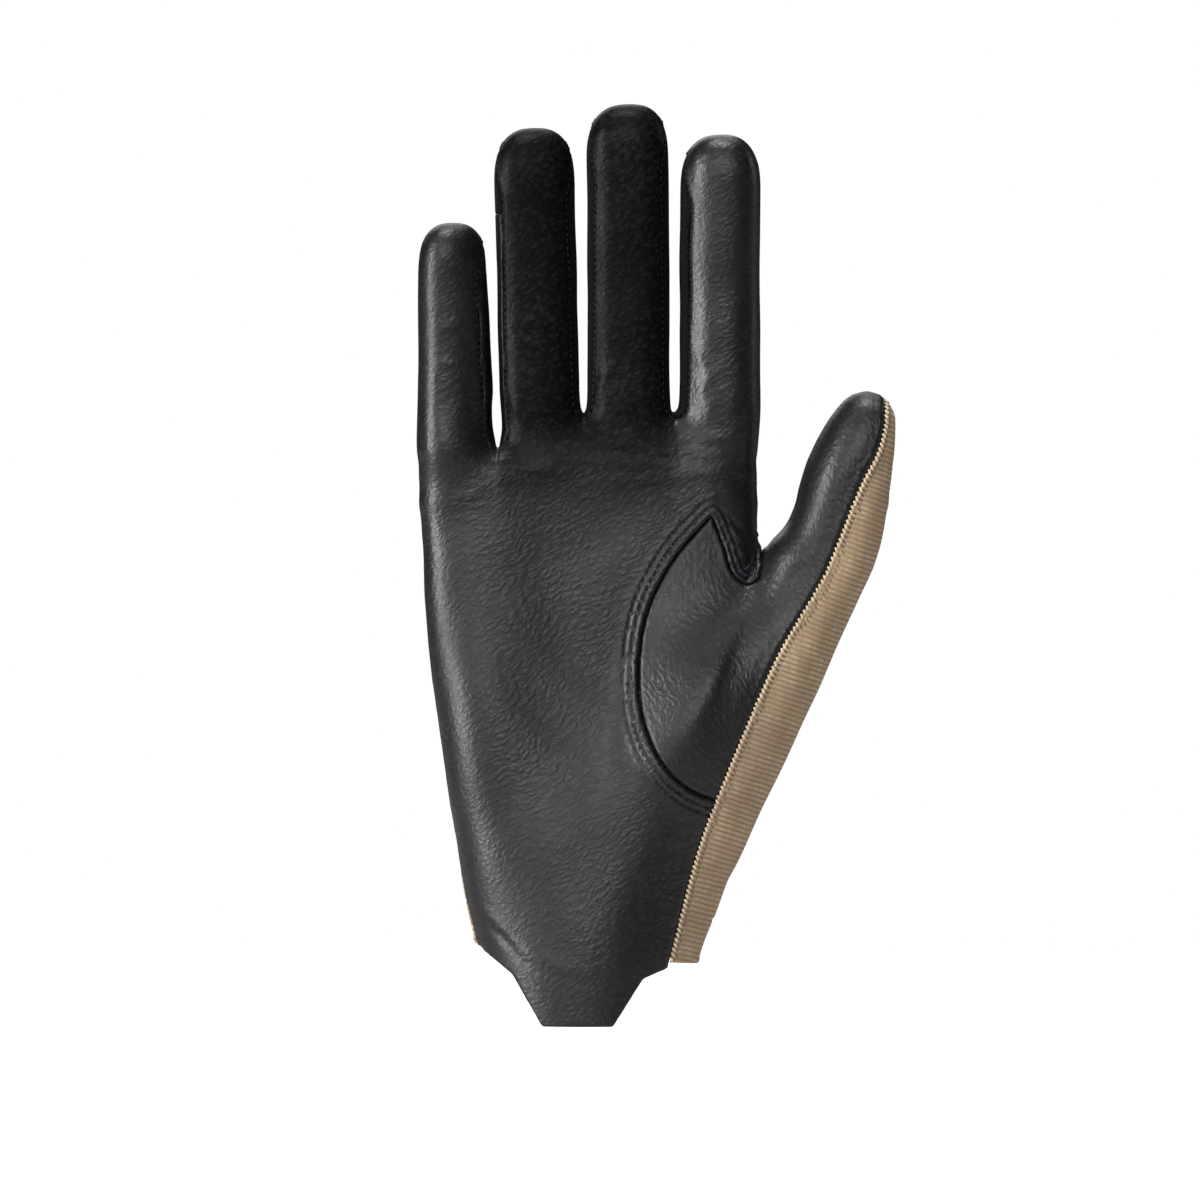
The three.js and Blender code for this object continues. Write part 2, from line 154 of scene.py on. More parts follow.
def addRing(bm, centre, across, halfWidth, halfDepth, square, sides):
    ring = bmesh.ops.create_circle(bm, radius=1, segments=sides)["verts"]
    for v in ring:
        c, s = v.co.x, v.co.y
        a = math.copysign(abs(c) ** (2 / square), c) * halfWidth
        d = math.copysign(abs(s) ** (2 / square), s) * halfDepth
        v.co = centre + across * a + Vector((0, d, 0))
    return list({e for v in ring for e in v.link_edges})


def addLoft(bm, rings):
    for lower, upper in zip(rings, rings[1:]):
        bmesh.ops.bridge_loops(bm, edges=lower + upper)
    for end in (rings[0], rings[-1]):
        bmesh.ops.contextual_create(bm, geom=end)


def addHand(bm):
    right = Vector((1, 0, 0))
    smooth = [row for row in handRows if row["up"] <= hand["smoothTop"]]
    ups = np.arange(smooth[0]["up"], hand["smoothTop"], hand["rowStep"])
    rows = [{key: float(column(smooth, key, "up", up)) for key in smooth[0]} for up in ups]
    level = [row for row in handRows if row["up"] >= hand["smoothTop"]]
    for a, b in zip(level, level[1:]):
        count = math.ceil((b["up"] - a["up"]) / hand["rowStep"])
        rows += [{key: a[key] + (b[key] - a[key]) * i / count for key in a} for i in range(count)]
    rows.append(level[-1])
    rings = []
    for row in rows:
        centre = Vector(((row["low"] + row["high"]) / 2, 0, row["up"]))
        halfWidth = (row["high"] - row["low"]) / 2
        ring = addRing(
            bm, centre, right, halfWidth, row["depth"] / 2, row["square"], hand["sides"]
        )
        rings.append(ring)
    addLoft(bm, rings)


def addFinger(bm, finger):
    right = Vector((1, 0, 0))
    straight = finger["length"] - finger["cap"]
    rings = []
    for along in np.linspace(fingerRows[0]["along"], 1, 22):
        width = column(fingerRows, "width", "along", along)
        depth = column(fingerRows, "depth", "along", along)
        far = max(along, 0)
        halfWidth = width * (finger["root"] + (finger["tip"] - finger["root"]) * far) / 2
        centre = Vector((finger["centre"] + finger["lean"] * far, 0, finger["crotch"] + along * straight))
        halfDepth = finger["depth"] * depth / 2
        rings.append(addRing(bm, centre, right, halfWidth, halfDepth, finger["square"], digit["sides"]))
    for step in range(1, digit["capSteps"] + 1):
        angle = step / (digit["capSteps"] + 0.35) * math.pi / 2
        shrink = math.cos(angle) ** digit["capBlunt"]
        up = finger["crotch"] + straight + finger["cap"] * math.sin(angle)
        centre = Vector((finger["centre"] + finger["lean"], 0, up))
        size = (finger["tip"] / 2 * shrink, finger["depth"] / 2 * shrink)
        rings.append(addRing(bm, centre, right, *size, finger["square"], digit["sides"]))
    addLoft(bm, rings)


def thumbPoint(along):
    side = column(thumbRows, "side", "along", along) * thumb["width"]
    s, c = math.sin(thumb["lean"]), math.cos(thumb["lean"])
    x = thumb["base"][0] + along * thumb["length"] * s + side * c
    z = thumb["base"][1] + along * thumb["length"] * c - side * s
    return Vector((x, 0, z))


# Direction across the thumb, square to its bent middle line
def thumbAcross(along):
    way = thumbPoint(min(along + 0.05, 1)) - thumbPoint(max(along - 0.05, 0))
    way.normalize()
    return Vector((way.z, 0, -way.x))


def addThumb(bm):
    alongs = [row["along"] for row in thumbRows]
    places = []
    for a, b in zip(alongs, alongs[1:]):
        places += list(np.linspace(a, b, thumb["rowsBetween"], endpoint=False))
    rings = []
    for along in places + [1]:
        halfWidth = column(thumbRows, "width", "along", along) * thumb["width"] / 2
        halfDepth = column(thumbRows, "depth", "along", along) * thumb["depth"] / 2
        rings.append(
            addRing(
                bm, thumbPoint(along), thumbAcross(along), max(halfWidth, 0.5), max(halfDepth, 0.5),
                digit["thumbSquare"], thumb["sides"],
            )
        )
    addLoft(bm, rings)


def points(bm):
    return np.array([v.co for v in bm.verts])


def normalsOf(bm):
    bm.normal_update()
    return np.array([v.normal for v in bm.verts])


def place(bm, coordinates):
    for v, p in zip(bm.verts, coordinates):
        v.co = p


def hill(value, at, width):
    return np.exp(-(((value - at) / width) ** 2))


# A long soft hill seen from the palm, turned from +X by an angle in degrees
def ridge(x, z, at, turn, length, width, wave=0):
    c, s = math.cos(math.radians(turn)), math.sin(math.radians(turn))
    dx, dz = x - at[0], z - at[1]
    return hill(dx * c + dz * s, 0, length) * hill(-dx * s + dz * c + wave, 0, width)


def smoothPart(bm, chosen, passes):
    verts = [v for v, c in zip(bm.verts, chosen) if c]
    for _ in range(passes):
        bmesh.ops.smooth_vert(
            bm, verts=verts, factor=0.5, use_axis_x=True, use_axis_y=True, use_axis_z=True
        )


def middleAt(finger, up):
    along = np.clip((up - finger["crotch"]) / (finger["length"] - finger["cap"]), 0, 1)
    half = (finger["root"] + (finger["tip"] - finger["root"]) * along) / 2
    return finger["centre"] + finger["lean"] * along, half


# The fingers stand apart while the skin is joined and smoothed, so that the narrow gaps stay
# open. way is 1 to spread them and -1 to close them again.
spreading = {"low": 114, "high": 127, "by": {"little": -7, "ring": -2.5, "middle": 2, "index": 6}}


def spreadFingers(p, way):
    x, z = p[:, 0], p[:, 2]
    ramp = np.clip((z - spreading["low"]) / (spreading["high"] - spreading["low"]), 0, 1)
    ramp = ramp * ramp * (3 - 2 * ramp)
    closed, opened = [x * 0 - 400], [x * 0 - 400 + spreading["by"]["little"] * ramp]
    for name, finger in fingers.items():
        middle, half = middleAt(finger, z)
        for edge in (middle - half, middle + half):
            closed.append(edge)
            opened.append(edge + spreading["by"][name] * ramp)
    closed.append(x * 0 + 400)
    opened.append(x * 0 + 400 + spreading["by"]["index"] * ramp)
    start, end = (closed, opened) if way > 0 else (opened, closed)
    moved = x.copy()
    for a, b, c, d in zip(start, start[1:], end, end[1:]):
        here = (x >= a) & (x < b)
        moved[here] = (c + (d - c) * (x - a) / (b - a))[here]
    made = p.copy()
    made[:, 0] = moved
    return made


# One closed skin round hand, fingers and thumb
def wholeSkin():
    bm = bmesh.new()
    addHand(bm)
    for finger in fingers.values():
        addFinger(bm, finger)
    addThumb(bm)
    place(bm, spreadFingers(points(bm), 1))
    bmesh.ops.recalc_face_normals(bm, faces=bm.faces)
    rough = bpy.data.meshes.new("rough")
    bm.to_mesh(rough)
    bm.free()
    form = bpy.data.objects.new("rough", rough)
    bpy.context.scene.collection.objects.link(form)
    remesh = form.modifiers.new("remesh", "REMESH")
    remesh.mode = "VOXEL"
    remesh.voxel_size = skin["voxel"]
    bpy.context.view_layer.update()
    evaluated = form.evaluated_get(bpy.context.evaluated_depsgraph_get())
    bm = bmesh.new()
    bm.from_mesh(evaluated.data)
    bpy.data.objects.remove(form)
    bpy.data.meshes.remove(rough)
    bmesh.ops.recalc_face_normals(bm, faces=bm.faces)
    return bm


body = wholeSkin()
print("skin", len(body.verts), "points")
everything = np.ones(len(body.verts), bool)
smoothPart(body, everything, skin["passes"])
x, y, z = points(body).T
for i in range(webSmoothing["rounds"]):
    above = z > webSmoothing["low"] + webSmoothing["lowStep"] * i
    below = z < webSmoothing["high"] + 3 * np.sin(x)  # an uneven line hides where it ends
    web = above & below & (x > webSmoothing["left"] + i) & (x < webSmoothing["right"] - i)
    smoothPart(body, web, webSmoothing["passes"])
place(body, spreadFingers(points(body), -1))
x, y, z = points(body).T
for i in range(ballSmoothing["rounds"]):
    less = ballSmoothing["step"] * i
    across = (x > ballSmoothing["left"] + less) & (x < ballSmoothing["right"] - less)
    upward = (z > ballSmoothing["low"] + ballSmoothing["lowStep"] * i) & (z < ballSmoothing["high"] - less)
    smoothPart(body, across & upward & (np.abs(y) > ballSmoothing["offMiddle"]), ballSmoothing["passes"])

# Soft relief of the filled-out palm and back: height in millimetres out of the surface
relief = [
    {"face": -1, "at": (29, 67), "turn": 65, "size": (26, 11), "height": 6.4},  # ball of the thumb
    {"face": -1, "at": (57, 117), "turn": 67, "size": (20, 6), "height": 1.3},  # pad of the thumb
    {"face": -1, "at": (9, 70), "turn": 84, "size": (22, 7), "height": -0.9},  # beside it
    {"face": -1, "at": (-30, 52), "size": (11, 34), "height": 1.8},  # heel below the little finger
    {"face": -1, "at": (-4, 72), "size": (16, 34), "height": -1.8},  # hollow of the palm
    {"face": -1, "at": (-34, 127), "size": (8, 9), "height": 0.9},  # pads below the fingers
    {"face": -1, "at": (-12, 127), "size": (9, 10), "height": 0.5},
    {"face": -1, "at": (10, 123), "size": (9, 9), "height": 0.7},
    {"face": -1, "at": (32, 121), "size": (9, 11), "height": 0.8},
    {"face": 1, "at": (-33, 124), "size": (7, 9), "height": 0.9},  # knuckles
    {"face": 1, "at": (-12, 131), "size": (7, 10), "height": 1.1},
    {"face": 1, "at": (10, 133), "size": (7, 10), "height": 1.2},
    {"face": 1, "at": (33, 130), "size": (7, 10), "height": 1.1},
    {"face": 1, "at": (-22, 112), "size": (3, 14), "height": -0.4},  # between the knuckles
    {"face": 1, "at": (-1, 116), "size": (3, 14), "height": -0.4},
    {"face": 1, "at": (22, 115), "size": (3, 14), "height": -0.4},
]
home = points(body)
normals = normalsOf(body)
x, y, z = home.T
out = np.zeros(len(home))
for row in relief:
    facing = np.clip(normals[:, 1] * row["face"], 0, 1)
    out += facing * row["height"] * ridge(x, z, row["at"], row.get("turn", 0), *row["size"])
place(body, home + normals * out[:, None])
smoothPart(body, everything, skin["lastPasses"])
print("relief done")

# Seams as fields: each is 0 on its seam and grows in millimetres away from it

neighbours = [("little", "ring"), ("ring", "middle"), ("middle", "index")]
wall = {"front": 6, "back": 5.4, "under": 4, "tipGap": 4.5, "taper": 13, "patchTop": 188}
edgeSeam = {"forward": 4, "straightFrom": 41.4, "thumbReach": 20.2}
panelSeam = {
    "round": [
        (31.0, 112.1), (22.1, 102.1), (15.6, 90.1), (12.9, 77.3),
        (13.3, 63.5), (17.9, 51.5), (25.5, 43.9), (35.7, 40.0),
    ],
    "crotch": [(31.0, 112.1), (33.6, 105.6), (36.1, 98.0), (39.8, 95.2), (42.9, 96.6)],
    "above": [(43.7, 102.1), (43.7, 106)],
}
hem = {
    "front": [
        (-85, 5), (-27.5, 5), (-26, 3.25), (-19.1, -2.2), (-11.5, -15.2),
        (6.3, -15.2), (13.9, -3.3), (21.7, 0), (136, 0),
    ],
    "back": [(-85, 5), (-27.5, 5), (27.5, 0), (136, 0)],
}


def curveThrough(corners, steps):
    p = np.array(corners, float)
    ends = np.vstack([p[:1], p, p[-1:]])
    t = np.linspace(0, 1, steps, endpoint=False)[:, None]
    pieces = []
    for a, b, c, d in zip(ends, ends[1:], ends[2:], ends[3:]):
        pieces.append(
            0.5 * (2 * b + (c - a) * t + (2 * a - 5 * b + 4 * c - d) * t**2 + (3 * b - a - 3 * c + d) * t**3)
        )
    return np.vstack([*pieces, p[-1:]])


def lineDistance(p, line):
    best = np.full(len(p), 1e9)
    for a, b in zip(line, line[1:]):
        way = b - a
        t = np.clip(((p - a) @ way) / (way @ way), 0, 1)
        best = np.minimum(best, np.linalg.norm(p - a - t[:, None] * way, axis=1))
    return best


def insideOutline(p, outline):
    inside = np.zeros(len(p), bool)
    for a, b in zip(outline, np.roll(outline, -1, axis=0)):
        crosses = (a[1] > p[:, 1]) != (b[1] > p[:, 1])
        rise = b[1] - a[1] if b[1] != a[1] else 1e-9
        inside ^= crosses & (p[:, 0] < a[0] + (b[0] - a[0]) * (p[:, 1] - a[1]) / rise)
    return inside


# Negative inside a closed outline
def outlineDistance(p, outline):
    far = lineDistance(p, np.vstack([outline, outline[:1]]))
    return np.where(insideOutline(p, outline), -far, far)


def wallOutline(finger, bottom):
    shoulder = finger["crotch"] + finger["length"] - wall["tipGap"] - wall["taper"]
    front, back, taper = wall["front"], wall["back"], wall["taper"]
    return np.array(
        [
            (-front, bottom), (back, bottom), (back, shoulder), (0.72 * back, shoulder + 0.45 * taper),
            (0.35 * back, shoulder + 0.82 * taper), (0, shoulder + taper),
            (-0.35 * front, shoulder + 0.82 * taper), (-0.72 * front, shoulder + 0.45 * taper),
            (-front, shoulder),
        ]
    )


# Distance to the side walls' seams, and which pair of fingers and which finger of it
def wallField(p):
    x, y, z = p.T
    field = np.full(len(p), 10.0)
    pair = np.full(len(p), -1)
    upper = np.zeros(len(p), bool)
    for i, (a, b) in enumerate(neighbours):
        left, right = fingers[a], fingers[b]
        leftMiddle, leftHalf = middleAt(left, z)
        rightMiddle, rightHalf = middleAt(right, z)
        gap = (leftMiddle + leftHalf + rightMiddle - rightHalf) / 2
        bottom = min(left["crotch"], right["crotch"]) - wall["under"]
        for finger, low, high in ((left, leftMiddle, gap), (right, gap, rightMiddle)):
            here = (x > low) & (x <= high) & (z > bottom - 12)
            field[here] = outlineDistance(p[here][:, 1:], wallOutline(finger, bottom))
            pair[here] = i
            upper[here] = finger is right
    return field, pair, upper


thumbSeam = [(edgeSeam["thumbReach"], 0)]
for row in thumbRows[1:-1]:
    reach = row["seam"] * row["width"] * thumb["width"] / 2
    spot = thumbPoint(row["along"]) + thumbAcross(row["along"]) * reach
    thumbSeam.append((spot.x, spot.z))
thumbSeam = curveThrough(thumbSeam, 8)
leatherOutline = np.vstack(
    [
        [(-200, -60), (thumbSeam[0][0], -60)],
        thumbSeam,
        [(thumbSeam[-1][0], 300), (-200, 300)],
    ]
)


# Negative on the leather, positive on the knit
def edgeField(p):
    x, y, z = p.T
    forward = edgeSeam["forward"] * np.clip(1 - z / edgeSeam["straightFrom"], 0, 1)
    return np.maximum(y + forward, outlineDistance(p[:, ::2], leatherOutline))


roundLine = curveThrough(panelSeam["round"], 12)
crotchLine = curveThrough(panelSeam["crotch"], 8)
panelLine = np.vstack([roundLine[::-1], crotchLine[1:], panelSeam["above"]])
panelOutline = np.vstack([panelLine, [(43.7, 300), (200, 300), (200, panelLine[0][1])]])


# Positive on the palm, negative on the thumb's panel
def panelField(p):
    flat = p[:, ::2]
    far = lineDistance(flat, panelLine)
    return np.where(insideOutline(flat, panelOutline), -far, far)


# Negative below the wrist edge
def hemField(p, side):
    line = np.array(hem[side], float)
    outline = np.vstack([line, [(136, 400), (-85, 400)]])
    far = lineDistance(p[:, ::2], line)
    return np.where(insideOutline(p[:, ::2], outline), far, -far)


panels = ["palm", "thumb", "knit", "wallIndexMiddle", "wallMiddleRing", "wallRingTip", "reinPatch"]
palmPanel, thumbPanel, knitPanel, indexWall, middleWall, tipWall, reinWall = range(7)


def panelOf(p):
    field, pair, upper = wallField(p)
    ids = np.where(edgeField(p) > 0, knitPanel, palmPanel)
    ids[(ids == palmPanel) & (panelField(p) < 0)] = thumbPanel
    isWall = field < 0
    ids[isWall & (pair == 2)] = indexWall
    ids[isWall & (pair == 1)] = middleWall
    ids[isWall & (pair == 0)] = reinWall
    ids[isWall & (pair == 0) & (p[:, 2] > wall["patchTop"]) & upper] = tipWall
    return ids


def centres(faces):
    return np.array([f.calc_center_median() for f in faces])


# Cuts the chosen faces along levels of a field. The field stands in for x while the planes cut.
def cutAlong(bm, faces, valueOf, levels):
    keep = bm.verts.layers.float_vector["home"]
    verts = list({v for f in faces for v in f.verts})
    where = np.array([v.co for v in verts])
    for v, value in zip(verts, valueOf(where)):
        v[keep] = v.co
        v.co.x = value
    faces = set(faces)
    for level in levels:
        edges = {e for f in faces for e in f.edges}
        corners = {v for f in faces for v in f.verts}
        made = bmesh.ops.bisect_plane(
            bm, geom=[*faces, *edges, *corners], dist=0.03, plane_co=(level, 0, 0), plane_no=(1, 0, 0)
        )
        faces = {g for g in made["geom"] if isinstance(g, bmesh.types.BMFace)}
    for v in {v for f in faces for v in f.verts}:
        v.co = v[keep]


def chosenFaces(bm, test):
    faces = list(bm.faces)
    chosen = test(centres(faces))
    return [f for f, c in zip(faces, chosen) if c]


body.verts.layers.float_vector.new("home")
cutAlong(
    body,
    chosenFaces(body, lambda p: (p[:, 2] > 118) & (np.abs(wallField(p)[0]) < 3)),
    lambda p: wallField(p)[0],
    [-1.1, -0.5, 0, 0.5, 1.1],
)
cutAlong(
    body,
    chosenFaces(body, lambda p: (wallField(p)[0] > 0) & (np.abs(edgeField(p)) < 4)),
    edgeField,
    [-1.3, -0.6, 0, 0.45, 0.9, 1.7],
)
cutAlong(
    body,
    chosenFaces(
        body, lambda p: (edgeField(p) < 0) & (wallField(p)[0] > 0) & (np.abs(panelField(p)) < 6.5)
    ),
    panelField,
    [-1.5, -0.6, 0, 0.6, 1.2, 1.95, 3.0, 3.8, 4.7],
)
cutAlong(
    body,
    chosenFaces(
        body,
        lambda p: (wallField(p)[0] < 0) & (wallField(p)[1] == 0) & (np.abs(p[:, 2] - wall["patchTop"]) < 3),
    ),
    lambda p: p[:, 2],
    [wall["patchTop"]],
)
for side, sign in (("front", -1), ("back", 1)):
    cutAlong(
        body,
        chosenFaces(body, lambda p: (sign * edgeField(p) > 0) & (p[:, 2] < 22)),
        lambda p: hemField(p, side),
        [0, 0.7] if side == "front" else [0, 0.7, 10.4, 11, 11.6],
    )
below = chosenFaces(
    body,
    lambda p: np.where(edgeField(p) > 0, hemField(p, "back"), hemField(p, "front")) < 0,
)
bmesh.ops.delete(body, geom=below, context="FACES")
bmesh.ops.remove_doubles(body, verts=body.verts, dist=0.04)
print("seams cut", len(body.faces), "faces")


# Relief of the sewn seams and the folds, out of the surface


# at is the distance from the seam: positive in the finger's faces, the knit or the palm
seamRelief = {
    "wall": [
        {"at": 0, "width": 0.4, "height": -0.34},
        {"at": 1.0, "width": 0.5, "height": 0.14},
        {"at": -1.0, "width": 0.5, "height": 0.06},
    ],
    "edge": [
        {"at": -0.15, "width": 0.34, "height": -0.34},
        {"at": 0.6, "width": 0.5, "height": 0.14},
        {"at": -1.3, "width": 0.6, "height": 0.16},
    ],
    "panel": [
        {"at": 0, "width": 0.4, "height": -0.4},
        {"at": 1.15, "width": 0.45, "height": 0.36},
        {"at": 1.95, "width": 0.38, "height": -0.2},
        {"at": 2.9, "width": 0.5, "height": 0.3},
        {"at": 3.75, "width": 0.42, "height": -0.22},
        {"at": 4.7, "width": 0.6, "height": 0.14},
    ],
    "crotch": [
        {"at": 0, "width": 0.36, "height": -0.22},
        {"at": 0.8, "width": 0.36, "height": 0.34},
        {"at": 1.45, "width": 0.3, "height": -0.2},
        {"at": 2.1, "width": 0.4, "height": 0.3},
        {"at": 2.9, "width": 0.36, "height": -0.2},
        {"at": -0.9, "width": 0.5, "height": 0.2},
    ],
    "hem": [
        {"at": 0.9, "width": 0.7, "height": 0.3},
        {"at": 11, "width": 0.5, "height": -0.2},
        {"at": 11.9, "width": 0.5, "height": 0.07},
    ],
}
# face is -1 on the palm side and 1 on the back, turn is in degrees from +X
folds = [
    {"face": -1, "at": (8, 131.5), "turn": 6, "length": 13, "width": 1.5, "height": 0.3},
    {"face": -1, "at": (19, 129), "turn": -7, "length": 15, "width": 1.4, "height": 0.3},
    {"face": -1, "at": (29, 131), "turn": 12, "length": 10, "width": 1.3, "height": 0.26},
    {"face": -1, "at": (14, 125.5), "turn": -4, "length": 20, "width": 1.5, "height": 0.22},
    {"face": -1, "at": (24, 122.5), "turn": 5, "length": 16, "width": 1.5, "height": 0.2},
    {"face": -1, "at": (-16, 124.3), "turn": -9, "length": 7, "width": 1.2, "height": 0.3},
    {"face": -1, "at": (-19, 122), "turn": -16, "length": 6, "width": 1.5, "height": 0.14},
    {"face": -1, "at": (-29, 118), "turn": 22, "length": 5, "width": 1.4, "height": 0.12},
    {"face": -1, "at": (-13, 160), "turn": -16, "length": 5, "width": 1.3, "height": 0.28},
    {"face": -1, "at": (-15, 156), "turn": -20, "length": 5.5, "width": 1.3, "height": 0.34},
    {"face": -1, "at": (-14, 152), "turn": -24, "length": 5.5, "width": 1.3, "height": 0.36},
    {"face": -1, "at": (-15, 148), "turn": -22, "length": 5, "width": 1.3, "height": 0.3},
    {"face": -1, "at": (-13, 144), "turn": -28, "length": 5, "width": 1.3, "height": 0.26},
    {"face": -1, "at": (4.5, 147), "turn": 62, "length": 6, "width": 1.1, "height": 0.3},
    {"face": -1, "at": (7, 143), "turn": -52, "length": 5, "width": 1.1, "height": 0.24},
    {"face": -1, "at": (30, 146), "turn": 50, "length": 6, "width": 1.2, "height": 0.22},
    {"face": -1, "at": (28, 151), "turn": -58, "length": 6, "width": 1.1, "height": 0.2},
    {"face": -1, "at": (-34, 150), "turn": -12, "length": 5, "width": 1.1, "height": 0.2},
    {"face": -1, "at": (-34, 160), "turn": 10, "length": 5, "width": 1.1, "height": 0.18},
    {"face": -1, "at": (-20.5, 6.5), "turn": -46, "length": 8, "width": 1.3, "height": -0.6},
    {"face": -1, "at": (-22.5, 9.5), "turn": -44, "length": 8, "width": 1.4, "height": 0.45},
    {"face": -1, "at": (-12, 2), "turn": -20, "length": 8, "width": 1.8, "height": 0.3},
    {"face": -1, "at": (37.8, 100.4), "turn": -34, "length": 3, "width": 0.8, "height": 0.4},
    {"face": -1, "at": (37.6, 103.8), "turn": -38, "length": 2.8, "width": 0.8, "height": 0.45},
    {"face": -1, "at": (37.2, 107.4), "turn": -42, "length": 2.8, "width": 0.9, "height": 0.45},
    {"face": -1, "at": (37.4, 109.8), "turn": -48, "length": 4, "width": 0.9, "height": -0.4},
    {"face": -1, "at": (41, 98), "turn": 62, "length": 3.4, "width": 0.7, "height": -0.6},
    {"face": -1, "at": (40, 88), "turn": 62, "length": 8, "width": 1.5, "height": 0.2},
    {"face": -1, "at": (51, 96), "turn": 60, "length": 6, "width": 1.3, "height": -0.24},
    {"face": 1, "at": (-33, 158), "turn": 4, "length": 7, "width": 1.3, "height": -0.3},
    {"face": 1, "at": (-12, 172), "turn": -3, "length": 8, "width": 1.3, "height": -0.32},
    {"face": 1, "at": (-12, 176), "turn": 4, "length": 7, "width": 1.2, "height": -0.26},
    {"face": 1, "at": (10, 175), "turn": 3, "length": 8, "width": 1.3, "height": -0.32},
    {"face": 1, "at": (10, 179), "turn": -4, "length": 7, "width": 1.2, "height": -0.26},
    {"face": 1, "at": (33, 170), "turn": 2, "length": 8, "width": 1.3, "height": -0.3},
    {"face": 1, "at": (57, 100), "turn": -24, "length": 7, "width": 1.3, "height": -0.3},
    {"face": 1, "at": (0, 10), "turn": 3, "length": 26, "width": 1.2, "height": -0.25},
]

home = points(body)
normals = normalsOf(body)
x, y, z = home.T
wallValue, edgeValue, panelValue = wallField(home)[0], edgeField(home), panelField(home)
onWallSide = np.clip((z - 118) / 3, 0, 1)
offWall = np.clip((wallValue + 0.3) / 0.8, 0, 1)
onLeather = np.clip(0.4 - edgeValue, 0, 1) * offWall
out = np.zeros(len(home))
for row in seamRelief["wall"]:
    out += row["height"] * hill(wallValue, row["at"], row["width"]) * onWallSide
for row in seamRelief["edge"]:
    out += row["height"] * hill(edgeValue, row["at"], row["width"]) * offWall
onCrotch = np.clip((x - 31) / 1.5, 0, 1) * (z > 94)
for row in seamRelief["panel"]:
    out += row["height"] * hill(panelValue, row["at"], row["width"]) * onLeather * (1 - onCrotch)
for row in seamRelief["crotch"]:
    out += row["height"] * hill(panelValue, row["at"], row["width"]) * onLeather * onCrotch
for row in seamRelief["hem"]:
    out += row["height"] * hill(hemField(home, "back"), row["at"], row["width"]) * (edgeValue > 0) * (z < 20)
for row in folds:
    wave = 0.25 * row["width"] * np.sin(x * 0.7 + z * 0.4)  # folds are never quite straight
    facing = np.clip(normals[:, 1] * row["face"] * 1.5, 0, 1)
    shape = ridge(x, z, row["at"], row["turn"], row["length"], row["width"], wave)
    out += facing * row["height"] * shape * np.clip(wallValue / 1.5, 0, 1)
# A slow unevenness, as soft leather and knit have over a hand
out += 0.16 * np.sin(x / 5.1 + 1.3 * np.sin(z / 11)) * np.sin(z / 7.3 + np.cos(x / 9))
place(body, home + normals * out[:, None])
body.normal_update()
print("relief of seams and folds done")

# Panels


def posed(p):
    p = np.array(p, float)
    bend = np.clip((p[:, 2] - pose["curlStart"]) / (pose["curlEnd"] - pose["curlStart"]), 0, None)
    raised = np.clip(p[:, 2] / hand["crotchUp"], 0, 1)
    arch = pose["arch"] * raised * (1 - (2 * p[:, 0] / hand["palmWidth"]) ** 2)
    p[:, 1] += arch - pose["curl"] * bend**2
    return p * mm


def finished(bm, name, materials):
    place(bm, posed(points(bm)))
    mesh = bpy.data.meshes.new(name)
    bm.to_mesh(mesh)
    bm.free()
    for material in materials:
        mesh.materials.append(material)
    mesh.shade_smooth()
    piece = bpy.data.objects.new(name, mesh)
    bpy.context.scene.collection.objects.link(piece)
    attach(piece, "root")
    return piece


faceIds = panelOf(centres(body.faces))
idLayer = body.faces.layers.int.new("panel")
for f, i in zip(body.faces, faceIds):
    f[idLayer] = int(i)


# Stray specks of a panel, left where seams meet at a point, go to the panel round them
def tidyPanels(bm):
    seen = set()
    islands = []
    for face in bm.faces:
        if face in seen:
            continue
        seen.add(face)
        island, heap = [], [face]
        while heap:
            f = heap.pop()
            island.append(f)
            for e in f.edges:
                for g in e.link_faces:
                    if g not in seen and g[idLayer] == face[idLayer]:
                        seen.add(g)
                        heap.append(g)
        islands.append(island)
    sizes = {}
    for island in islands:
        key = island[0][idLayer]
        sizes[key] = max(sizes.get(key, 0), len(island))
    for island in islands:
        if len(island) < sizes[island[0][idLayer]]:
            around = [
                g[idLayer] for f in island for e in f.edges for g in e.link_faces if g[idLayer] != f[idLayer]
            ]
            if around:
                new = max(set(around), key=around.count)
                for f in island:
                    f[idLayer] = new
            print("island of", len(island), "faces of", panels[island[0][idLayer]], "moved")


tidyPanels(body)

# Thickness of each material in millimetres, and how far a panel's edge turns in at a seam
cloth = {"leather_black": 1.0, "knit_tan": 1.0, "mesh_navy": 0.8, "edgeIn": 0.09, "edgeDown": 0.12}


def panelPiece(panel, name, outer, inner, slot):
    bm = body.copy()
    layer = bm.faces.layers.int["panel"]
    others = [f for f in bm.faces if f[layer] != panel]
    bmesh.ops.delete(bm, geom=others, context="FACES")
    bm.normal_update()
    moves = []
    for v in bm.verts:
        if not v.is_boundary:
            continue
        inward = Vector()
        for f in v.link_faces:
            inward += f.calc_center_median() - v.co
        inward -= inward.project(v.normal)
        if inward.length > 1e-6:
            moves.append((v, inward.normalized() * cloth["edgeIn"] - v.normal * cloth["edgeDown"]))
    for v, move in moves:
        v.co += move
    area = sum(f.calc_area() for f in bm.faces)
    print(name, len(bm.faces), "faces", round(area), "mm2")
    piece = finished(bm, name, [outer, inner])
    wallModifier = piece.modifiers.new("thickness", "SOLIDIFY")
    wallModifier.thickness = cloth[slot] * mm
    wallModifier.offset = -1
    wallModifier.material_offset = 1
    wallModifier.material_offset_rim = 1
    return piece


# Materials


